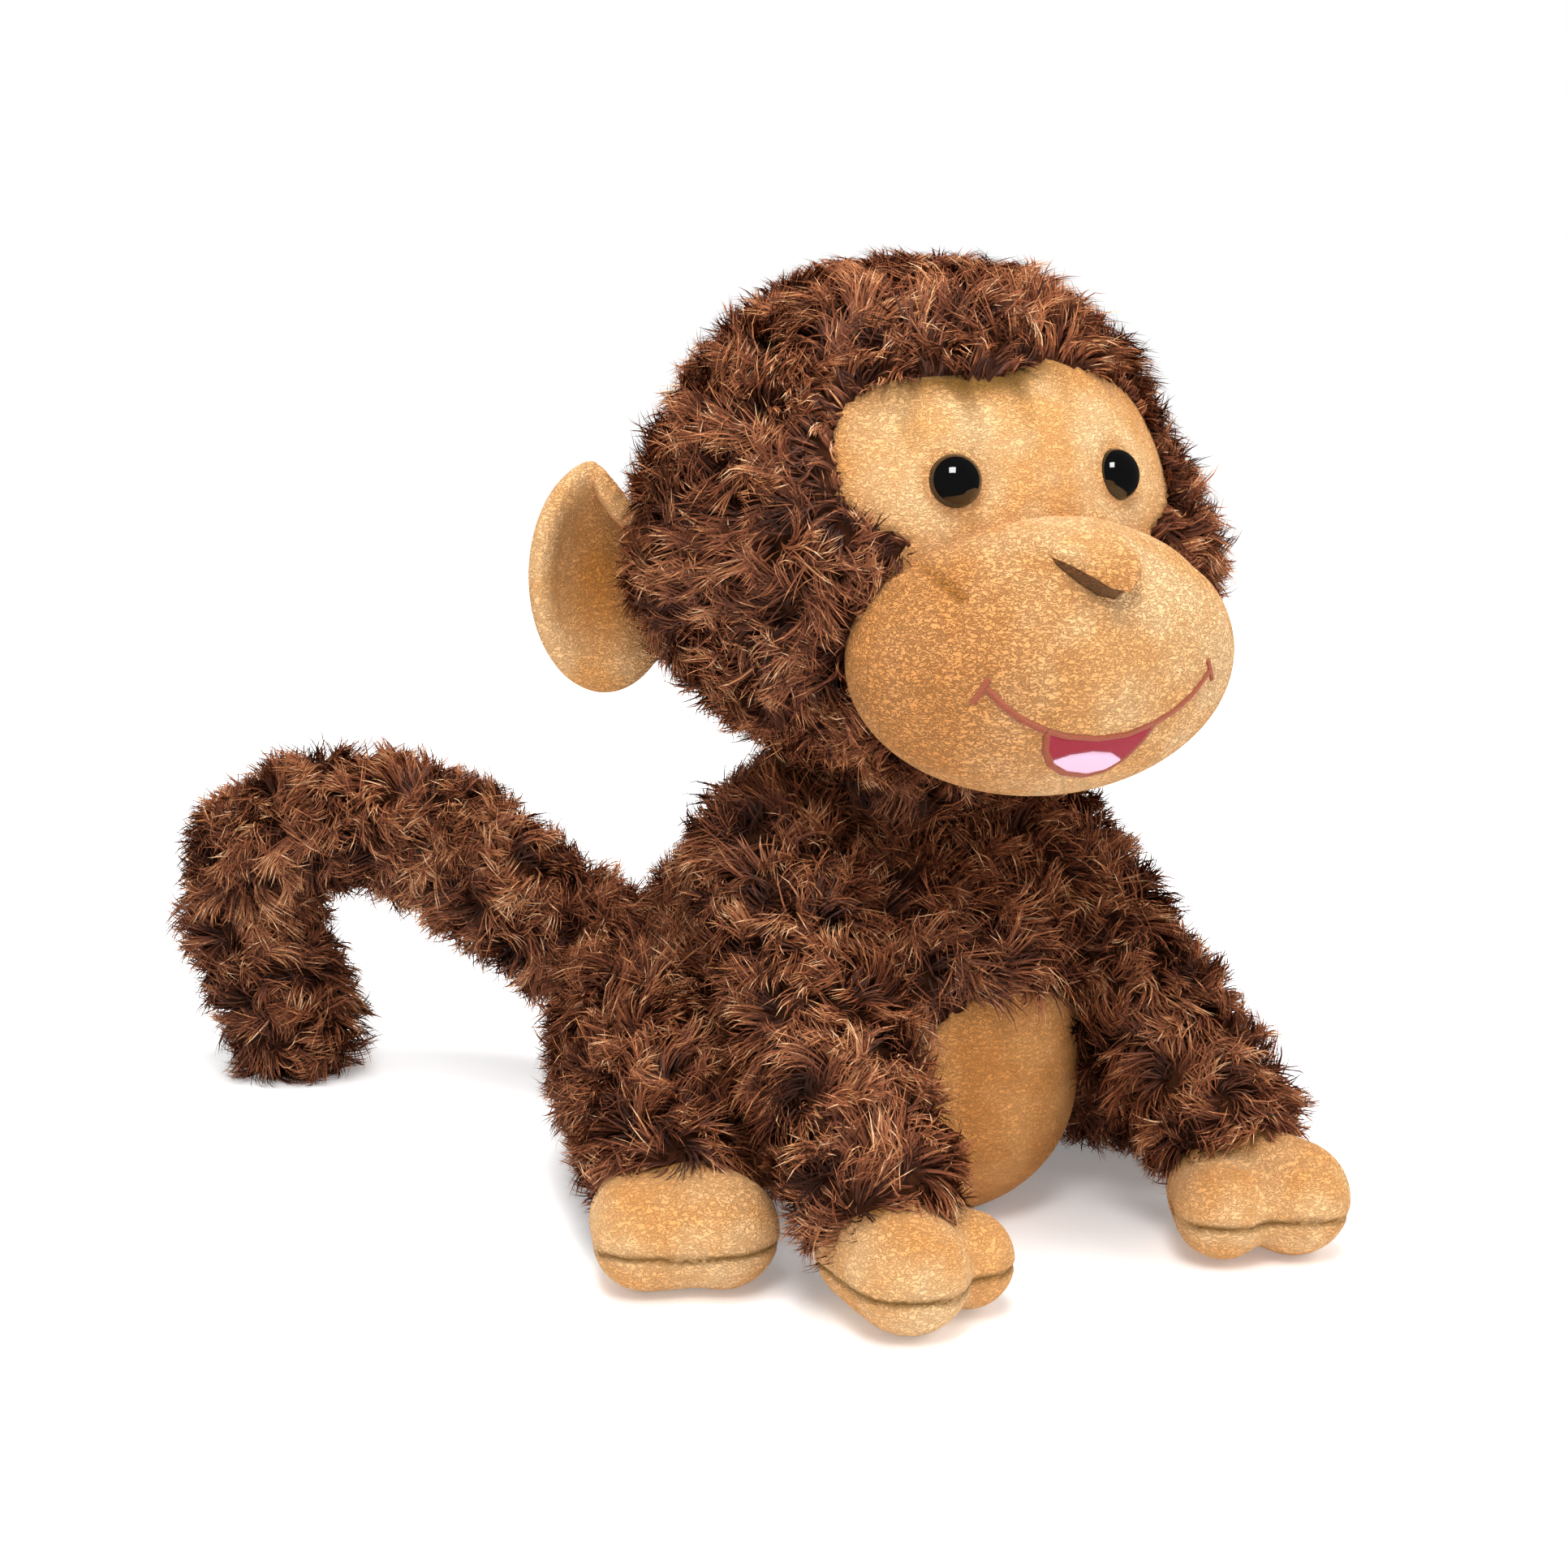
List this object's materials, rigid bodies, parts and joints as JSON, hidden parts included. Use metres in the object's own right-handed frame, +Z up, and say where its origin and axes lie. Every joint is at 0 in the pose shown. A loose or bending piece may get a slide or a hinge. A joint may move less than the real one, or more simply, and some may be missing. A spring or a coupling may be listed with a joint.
{
  "type": "plush monkey",
  "caption": "Sitting soft toy monkey with shaggy brown fur, short tan plush face, ears and paws, glossy eyes, a stitched smile and a long arched tail.",
  "frame": {"origin": "centre of the flat seat under the torso, at the height of the surface it sits on", "axes": "+Z up; -Y is where the monkey faces; +X is its left-hand side; the tail goes back along +Y and curls to -X"},
  "size_m": [0.2605, 0.3605, 0.262],
  "materials": {
    "brown_fur": "long curly pile with a copper sheen",
    "tan_plush": "short napped plush",
    "nose_plush": "short napped plush, folded",
    "black_eye": "polished",
    "white_washer": "moulded",
    "crimson_thread": "satin stitch",
    "pink_thread": "satin stitch",
    "brown_thread": "satin stitch",
    "stuffing": "loose polyester fibre",
    "pellet_bag": "plain woven cloth"
  },
  "bodies": {
    "torso": {"seat_panel": "brown_fur", "belly_patch": "tan_plush", "chest_panel": "brown_fur", "back_panel_left": "brown_fur", "back_panel_right": "brown_fur", "pellet_bag": "pellet_bag", "torso_stuffing": "stuffing"},
    "neck": {"neck_sleeve": "brown_fur", "neck_stuffing": "stuffing"},
    "head": {"head_gusset": "brown_fur", "head_side_left": "brown_fur", "head_side_right": "brown_fur", "face_mask": "tan_plush", "head_stuffing": "stuffing", "muzzle_skin": "tan_plush", "muzzle_stuffing": "stuffing", "nose_tab": "nose_plush", "mouth_patch": "crimson_thread", "tongue_patch": "pink_thread", "smile_line": "brown_thread", "eye_left": "black_eye", "eye_right": "black_eye", "eye_washer_left": "white_washer", "eye_washer_right": "white_washer"},
    "ear_left": {"ear_front_left": "tan_plush", "ear_back_left": "tan_plush"},
    "arm_left": {"arm_sleeve_left": "brown_fur", "arm_stuffing_left": "stuffing"},
    "hand_left": {"hand_top_left": "tan_plush", "hand_palm_left": "tan_plush", "hand_stuffing_left": "stuffing"},
    "leg_left": {"leg_sleeve_left": "brown_fur", "leg_stuffing_left": "stuffing"},
    "foot_left": {"foot_top_left": "tan_plush", "foot_sole_left": "tan_plush", "foot_stuffing_left": "stuffing"},
    "ear_right": {"ear_front_right": "tan_plush", "ear_back_right": "tan_plush"},
    "arm_right": {"arm_sleeve_right": "brown_fur", "arm_stuffing_right": "stuffing"},
    "hand_right": {"hand_top_right": "tan_plush", "hand_palm_right": "tan_plush", "hand_stuffing_right": "stuffing"},
    "leg_right": {"leg_sleeve_right": "brown_fur", "leg_stuffing_right": "stuffing"},
    "foot_right": {"foot_top_right": "tan_plush", "foot_sole_right": "tan_plush", "foot_stuffing_right": "stuffing"},
    "tail_base": {"tail_base_sleeve": "brown_fur", "tail_base_stuffing": "stuffing"},
    "tail_mid": {"tail_mid_sleeve": "brown_fur", "tail_mid_stuffing": "stuffing"},
    "tail_tip": {"tail_tip_sleeve": "brown_fur", "tail_tip_stuffing": "stuffing"}
  },
  "joints": [
    {"name": "neck_turn", "type": "hinge", "parent": "torso", "child": "neck", "pos_m": [0, -0.024, 0.134], "axis": [0, 0, 1], "range_deg": [-30, 30], "stiffness_Nm_per_rad": 1.2},
    {"name": "head_nod", "type": "hinge", "parent": "neck", "child": "head", "pos_m": [0, -0.024, 0.134], "axis": [1, 0, 0], "range_deg": [-12, 12], "stiffness_Nm_per_rad": 1.5},
    {"name": "ear_fold_left", "type": "hinge", "parent": "head", "child": "ear_left", "pos_m": [0.062, -0.006, 0.187], "axis": [0, 0, 1], "range_deg": [-15, 15], "stiffness_Nm_per_rad": 0.03},
    {"name": "shoulder_left", "type": "hinge", "parent": "torso", "child": "arm_left", "pos_m": [0.042, -0.031, 0.106], "axis": [-1, 0, 0], "range_deg": [0, 25], "stiffness_Nm_per_rad": 0.4},
    {"name": "wrist_left", "type": "hinge", "parent": "arm_left", "child": "hand_left", "pos_m": [0.058, -0.112, 0.032], "axis": [-1, 0, 0], "range_deg": [-10, 25], "stiffness_Nm_per_rad": 0.12},
    {"name": "hip_left", "type": "hinge", "parent": "torso", "child": "leg_left", "pos_m": [0.054, 0.009, 0.044], "axis": [0, 0, 1], "range_deg": [0, 30], "stiffness_Nm_per_rad": 0.6},
    {"name": "ankle_left", "type": "hinge", "parent": "leg_left", "child": "foot_left", "pos_m": [0.085, -0.052, 0.027], "axis": [-1, 0, 0], "range_deg": [-10, 20], "stiffness_Nm_per_rad": 0.12},
    {"name": "ear_fold_right", "type": "hinge", "parent": "head", "child": "ear_right", "pos_m": [-0.062, -0.006, 0.187], "axis": [0, 0, 1], "range_deg": [-15, 15], "stiffness_Nm_per_rad": 0.03},
    {"name": "shoulder_right", "type": "hinge", "parent": "torso", "child": "arm_right", "pos_m": [-0.042, -0.031, 0.106], "axis": [-1, 0, 0], "range_deg": [0, 25], "stiffness_Nm_per_rad": 0.4},
    {"name": "wrist_right", "type": "hinge", "parent": "arm_right", "child": "hand_right", "pos_m": [-0.058, -0.112, 0.032], "axis": [-1, 0, 0], "range_deg": [-10, 25], "stiffness_Nm_per_rad": 0.12},
    {"name": "hip_right", "type": "hinge", "parent": "torso", "child": "leg_right", "pos_m": [-0.054, 0.009, 0.044], "axis": [0, 0, -1], "range_deg": [0, 30], "stiffness_Nm_per_rad": 0.6},
    {"name": "ankle_right", "type": "hinge", "parent": "leg_right", "child": "foot_right", "pos_m": [-0.085, -0.052, 0.027], "axis": [-1, 0, 0], "range_deg": [-10, 20], "stiffness_Nm_per_rad": 0.12},
    {"name": "tail_swing", "type": "hinge", "parent": "torso", "child": "tail_base", "pos_m": [-0.004, 0.066, 0.038], "axis": [0, 0, 1], "range_deg": [-20, 15], "stiffness_Nm_per_rad": 0.4},
    {"name": "tail_arch", "type": "hinge", "parent": "tail_base", "child": "tail_mid", "pos_m": [-0.068, 0.135, 0.082], "axis": [0.6606, 0.7507, 0], "range_deg": [-20, 20], "stiffness_Nm_per_rad": 0.3},
    {"name": "tail_curl", "type": "hinge", "parent": "tail_mid", "child": "tail_tip", "pos_m": [-0.119, 0.183, 0.077], "axis": [0.6606, 0.7507, 0], "range_deg": [-20, 20], "stiffness_Nm_per_rad": 0.15}
  ]
}
